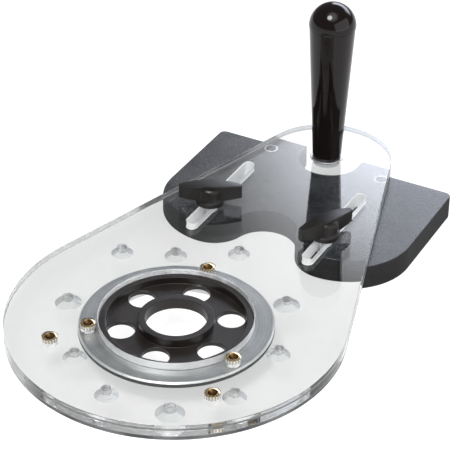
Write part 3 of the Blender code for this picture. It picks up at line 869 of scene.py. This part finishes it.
def make_insert_ring():
    low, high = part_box("insert_ring")
    rim = PLATE_TOP - DISH_RIM_DROP - low.z
    floor = PLATE_TOP - DISH_FLOOR_DROP - low.z
    boss = high.z - low.z
    profile = [
        (BORE_R + BORE_CHAMFER, 0.0),
        (DISH_R, 0.0),
        (DISH_R, rim),
        (DISH_INNER_R, rim),
        (DISH_INNER_R, floor),
        (BOSS_R, floor),
        (BOSS_R, boss),
        (BORE_R, boss),
        (BORE_R, BORE_CHAMFER),
    ]
    shape = lathe(rounded(profile, 0.35 * MM), 192, closed=True)
    ring = plain_object("insert_ring_fine", shape, MOULDED, (*OPENING, low.z))
    cutters = []
    for i in range(6):
        centre = polar(SIGHT_CIRCLE_R, SIGHT_FIRST_ANGLE + 60 * i, OPENING)
        hole = lathe(open_bore(SIGHT_HOLE_R, 0.0, floor, 1 * MM), 64)
        cutters.append(plain_object(f"sight_hole_{i}", hole, MOULDED, (*centre, low.z)))
    boolean(ring, cutters)
    settle(ring, "insert", "black_moulding", "insert_ring")


# ---------------------------------------------------------------- guide and knobs
def make_guide():
    shape = slab(guide_outline, GUIDE_LOW.z, GUIDE_HIGH.z, GUIDE_EDGE)
    guide = plain_object("edge_guide_fine", shape, BOARD)
    cutters = []
    for node in GUIDE_INSERTS:
        centre = centre_of(node)
        radius = half_width(node) + GAP / 2
        hole = lathe(open_bore(radius, GUIDE_LOW.z, GUIDE_HIGH.z, 1 * MM), HOLE_STEPS)
        location = (centre.x, centre.y, 0.0)
        cutters.append(plain_object("hole_" + node, hole, BOARD, location))
    boolean(guide, cutters)
    on_side = len(guide.data.materials)
    guide.data.materials.append(BOARD_EDGE_PAINTED_SHADE)
    # The upright sides take the darker copy, partly painted shade.
    for face in guide.data.polygons:
        if is_upright(face):
            face.material_index = on_side
    settle(guide, "guide", "black_board", "edge_guide")


def wing_ring(along, middle, tip, count=9):
    """One cross-section of the wings, with a crowned top and broken edges.

    middle and tip are (half thickness, underside, top) at the wings' middle and ends.
    """
    share = 1 - (along / WING_HALF_SPAN) ** 2
    half = tip[0] + (middle[0] - tip[0]) * share
    low = tip[1] + (middle[1] - tip[1]) * share
    high = tip[2] + (middle[2] - tip[2]) * share
    edge = 0.35 * MM
    crown = 0.12 * MM
    shoulder = 0.3 * edge
    points = [(-half, low + edge), (-half + edge, low), (half - edge, low), (half, low + edge)]
    points += [(half, high - crown - edge), (half - shoulder, high - crown - shoulder)]
    for i in range(count):
        across = (half - edge) * (1 - 2 * i / (count - 1))
        points.append((across, high - crown * (across / half) ** 2))
    points += [(-half + shoulder, high - crown - shoulder), (-half, high - crown - edge)]
    return [(along, across, height) for across, height in points]


def knob_profile():
    """The collar, the boss on it and its rounded top."""
    profile = [
        (0.0, 0.0),
        (COLLAR_R - 0.8 * MM, 0.0),
        (COLLAR_R - 0.25 * MM, 0.2 * MM),
        (COLLAR_R, 0.8 * MM),
        (COLLAR_R, COLLAR_H - 0.4 * MM),
        (COLLAR_R - 0.5 * MM, COLLAR_H + 0.1 * MM),
        (KNOB_BOSS_R + 0.5 * MM, COLLAR_H + 0.6 * MM),
        (KNOB_BOSS_R, COLLAR_H + 1.4 * MM),
    ]
    for i in range(1, 7):
        angle = math.radians(15 * i)
        radius = KNOB_BOSS_R - KNOB_ROUNDING + KNOB_ROUNDING * math.cos(angle)
        height = KNOB_BOSS_H - KNOB_ROUNDING + KNOB_ROUNDING * math.sin(angle)
        profile.append((radius, height))
    profile.append((0.0, KNOB_BOSS_H))
    return profile


def make_knob(side):
    node, stud = "knob_" + side, "knob_stud_" + side
    centre = centre_of(stud)
    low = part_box(node)[0].z
    middle = (WING_HALF_THICK, *WING_RISES)
    tip = (WING_TIP_HALF_THICK, *WING_TIP_RISES)
    stations = 33
    rings = []
    for i in range(stations):
        along = WING_HALF_SPAN * math.sin(math.radians(180 * i / (stations - 1) - 90))
        along = 0.5 * along + 0.5 * WING_HALF_SPAN * (2 * i / (stations - 1) - 1)
        rings.append(wing_ring(along, middle, tip))
    wings = plain_object("wings_" + side, lofted(rings), KNOB_BLACK, (*centre.xy, PLATE_TOP))
    wings.rotation_euler.z = math.radians(KNOB_TURNS[side])
    shape = lathe(knob_profile(), 64)
    knob = plain_object(node + "_fine", shape, KNOB_BLACK, (*centre.xy, low))
    socket_r = half_width(stud) + GAP / 2
    socket_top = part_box(stud)[1].z + GAP / 2
    socket_bottom = low - 1 * MM
    profile = [
        (0.0, socket_bottom),
        (socket_r, socket_bottom),
        (socket_r, socket_top),
        (0.0, socket_top),
    ]
    socket = plain_object("stud_socket", lathe(profile, 32), KNOB_BLACK, (*centre.xy, 0.0))
    boolean(knob, [wings], "UNION")
    boolean(knob, [socket])
    settle(knob, side + "_knob", "black_moulding", node)


def make_stud(side):
    node = "knob_stud_" + side
    low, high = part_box(node)
    radius = half_width(node)
    shape = threaded(radius, STUD_PITCH, 0.0, high.z - low.z, 0.5 * MM)
    stud = plain_object(node + "_fine", shape, ZINC, (*centre_of(node).xy, low.z))
    settle(stud, side + "_knob", "steel", node)


# ---------------------------------------------------------------- grip and screws
def make_grip():
    low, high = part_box("grip")
    length = high.z - low.z
    neck = length - GRIP_NECK_BELOW_TOP
    dome_r = half_width("grip")
    dome_z = length - dome_r
    insert_r = half_width("grip_insert") + GAP / 2
    insert_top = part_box("grip_insert")[1].z - low.z + GAP / 2
    shank_r = GRIP_SHANK_R + GAP / 2
    screw_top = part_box("grip_screw")[1].z - low.z + GAP / 2
    profile = [
        (0.0, screw_top),
        (shank_r, screw_top),
        (shank_r, insert_top),
        (insert_r, insert_top),
        (insert_r, 0.0),
        (GRIP_BOTTOM_R - GRIP_ROUNDING, 0.0),
    ]
    for i in range(1, 7):
        angle = math.radians(15 * i)
        radius = GRIP_BOTTOM_R - GRIP_ROUNDING * (1 - math.sin(angle))
        profile.append((radius, GRIP_ROUNDING * (1 - math.cos(angle))))
    taper_steps = 20
    for i in range(1, taper_steps + 1):
        share = i / taper_steps
        radius = GRIP_BOTTOM_R + (GRIP_NECK_R - GRIP_BOTTOM_R) * share
        profile.append((radius, GRIP_ROUNDING + (neck - GRIP_ROUNDING) * share))
    groove = 0.15 * MM
    profile += [
        (GRIP_NECK_R - groove, neck + 0.15 * MM),
        (GRIP_NECK_R - groove, neck + 0.30 * MM),
        (dome_r - 0.1 * MM, neck + 0.55 * MM),
    ]
    dome_steps = 32
    for i in range(dome_steps):
        angle = math.radians(90 * i / dome_steps)
        profile.append((dome_r * math.cos(angle), dome_z + dome_r * math.sin(angle)))
    profile.append((0.0, dome_z + dome_r))
    grip = plain_object("grip_fine", lathe(profile, 160), GLOSS, (*GRIP, low.z))
    settle(grip, "base", "black_gloss", "grip")


def make_washer():
    low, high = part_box("grip_washer")
    thick = high.z - low.z
    outer_r, inner_r = half_width("grip_washer"), GRIP_SHANK_R + GAP
    profile = [(inner_r, 0.0), (outer_r, 0.0), (outer_r, thick), (inner_r, thick)]
    shape = lathe(rounded(profile, 0.25 * MM), 96, closed=True)
    washer = plain_object("grip_washer_fine", shape, DULL_ZINC, (*GRIP, low.z))
    settle(washer, "base", "steel", "grip_washer")


def make_grip_insert():
    low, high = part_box("grip_insert")
    length = high.z - low.z
    outer_r, inner_r = half_width("grip_insert"), GRIP_SHANK_R + GAP
    profile = [(inner_r, 0.0), (outer_r, 0.0), (outer_r, length), (inner_r, length)]
    shape = lathe(rounded(profile, 0.4 * MM), 64, closed=True)
    insert = plain_object("grip_insert_fine", shape, BRASS, (*GRIP, low.z))
    settle(insert, "base", "brass", "grip_insert")


def make_screw(node, shank_r, pitch):
    """A countersunk screw, head down, with a hex recess and a threaded shank."""
    low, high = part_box(node)
    location = (*centre_of(node).xy, low.z)
    head_r = half_width(node)
    length = high.z - low.z
    cone = head_r - shank_r
    profile = [
        (0.0, 0.0),
        (head_r - 0.2 * MM, 0.0),
        (head_r, 0.2 * MM),
        (shank_r, cone),
        (shank_r, cone + 1.5 * MM),
        (0.0, cone + 1.5 * MM),
    ]
    screw = plain_object(node + "_fine", lathe(profile, 64), ZINC, location)
    thread = threaded(shank_r, pitch, cone + 1.2 * MM, length, 0.3 * pitch)
    boolean(screw, [plain_object("thread", thread, ZINC, location)], "UNION")
    recess_r, depth, past = RECESS_SHARE * head_r, 0.8 * cone, 1 * MM
    recess = [(0.0, -past), (recess_r, -past), (recess_r, depth), (0.0, depth)]
    boolean(screw, [plain_object("recess", lathe(recess, 6), ZINC, location)])
    settle(screw, "base", "steel", node)


# ---------------------------------------------------------------- studio
def make_floor():
    made = bmesh.new()
    signs = [(-1, -1), (1, -1), (1, 1), (-1, 1)]
    corners = [made.verts.new((FLOOR_HALF * x, FLOOR_HALF * y, 0.0)) for x, y in signs]
    made.faces.new(corners)
    floor = plain_object("floor", made, studio_white())


def softbox(name, place, size, power):
    """An area light that faces the object; two sizes make a rectangle, one a disc."""
    lamp = bpy.data.lights.new(name, "AREA")
    if isinstance(size, tuple):
        lamp.shape = "RECTANGLE"
        lamp.size, lamp.size_y = size
    else:
        lamp.shape = "DISK"
        lamp.size = size
    lamp.energy = power
    made = bpy.data.objects.new(name, lamp)
    bpy.context.scene.collection.objects.link(made)
    made.location = place
    made.rotation_mode = "QUATERNION"
    made.rotation_quaternion = (-Vector(place)).to_track_quat("-Z", "Y")
    return made


def soft_step(tree, value, start, end):
    """0 at start and 1 at end, whichever is the higher, and smooth between them."""
    made = tree.nodes.new("ShaderNodeMapRange")
    made.interpolation_type = "SMOOTHSTEP"
    made.inputs["From Min"].default_value = start
    made.inputs["From Max"].default_value = end
    tree.links.new(value, made.inputs["Value"])
    return made.outputs["Result"]


def towards(tree, direction, axis):
    """How nearly a direction points along the axis."""
    made = tree.nodes.new("ShaderNodeVectorMath")
    made.operation = "DOT_PRODUCT"
    made.inputs[1].default_value = axis
    tree.links.new(direction, made.inputs[0])
    return made.outputs["Value"]


def heading(degrees):
    """Horizontal axis that points right of a heading, counted from +Y towards +X."""
    angle = math.radians(degrees)
    return (math.cos(angle), -math.sin(angle), 0.0)


def make_world():
    """A dim room, with a big soft-edged panel behind the object and a glow overhead."""
    world = bpy.data.worlds.new("studio")
    world.use_nodes = True
    tree = world.node_tree
    direction = tree.nodes.new("ShaderNodeTexCoord").outputs["Generated"]
    height = towards(tree, direction, (0.0, 0.0, 1.0))
    panel = product(
        tree,
        soft_step(tree, towards(tree, direction, heading(PANEL_LEFT[0])), *PANEL_LEFT[1:]),
        soft_step(tree, towards(tree, direction, heading(PANEL_RIGHT[0])), *PANEL_RIGHT[1:]),
        soft_step(tree, height, *PANEL_LOW),
        soft_step(tree, height, *PANEL_HIGH),
    )
    above = soft_step(tree, towards(tree, direction, OVERHEAD_AXIS), *OVERHEAD_SPREAD)
    glow = weighted(tree, panel, PANEL_LIGHT, above, OVERHEAD_GLOW)
    glow = calculated(tree, "ADD", glow, ROOM_LIGHT)
    background = tree.nodes["Background"]
    colour = blended(tree, panel, ROOM_COLOUR, PANEL_COLOUR)
    tree.links.new(colour, background.inputs["Color"])
    tree.links.new(glow, background.inputs["Strength"])
    bpy.context.scene.world = world


def make_light():
    make_world()
    softbox("key", KEY_PLACE, KEY_SIZE, KEY_POWER)
    softbox("side", SIDE_PLACE, SIDE_SIZE, SIDE_POWER)


def make_camera():
    """The picture's own viewpoint, right of the object and above it."""
    azimuth, elevation = math.radians(CAMERA_AZIMUTH), math.radians(CAMERA_ELEVATION)
    back = Vector(
        (
            math.sin(azimuth) * math.cos(elevation),
            -math.cos(azimuth) * math.cos(elevation),
            math.sin(elevation),
        )
    )
    data = bpy.data.cameras.new("camera")
    data.lens = CAMERA_LENS
    camera = bpy.data.objects.new("camera", data)
    bpy.context.scene.collection.objects.link(camera)
    camera.location = CAMERA_PLACE
    camera.rotation_mode = "QUATERNION"
    roll = Quaternion((0, 0, 1), math.radians(CAMERA_ROLL))
    camera.rotation_quaternion = (-back).to_track_quat("-Z", "Y") @ roll
    bpy.context.scene.camera = camera


# ---------------------------------------------------------------- assembly
def build():
    make_plate()
    brass, zinc = (BRASS, BRASS_THREAD_PAINTED_SHADE), (BRIGHT_ZINC, ZINC_THREAD_PAINTED_SHADE)
    for node in PLATE_INSERTS:
        make_insert(node, "base", "brass", brass, PLATE_THREAD_R, 0.8 * MM, 0.4 * MM)
    for node in GUIDE_INSERTS:
        make_insert(node, "guide", "steel", zinc, GUIDE_THREAD_R, STUD_PITCH, 0.15 * MM)
    make_seat_ring()
    make_insert_ring()
    make_guide()
    for side in ("left", "right"):
        make_knob(side)
        make_stud(side)
    make_grip()
    make_washer()
    make_grip_insert()
    make_screw("grip_screw", GRIP_SHANK_R, 1.25 * MM)
    for number in (1, 2, 3):
        make_screw(f"seat_screw_{number}", SEAT_SHANK_R, 0.7 * MM)
    make_floor()
    make_light()
    make_camera()
    bpy.context.scene.view_settings.view_transform = "Standard"


build()
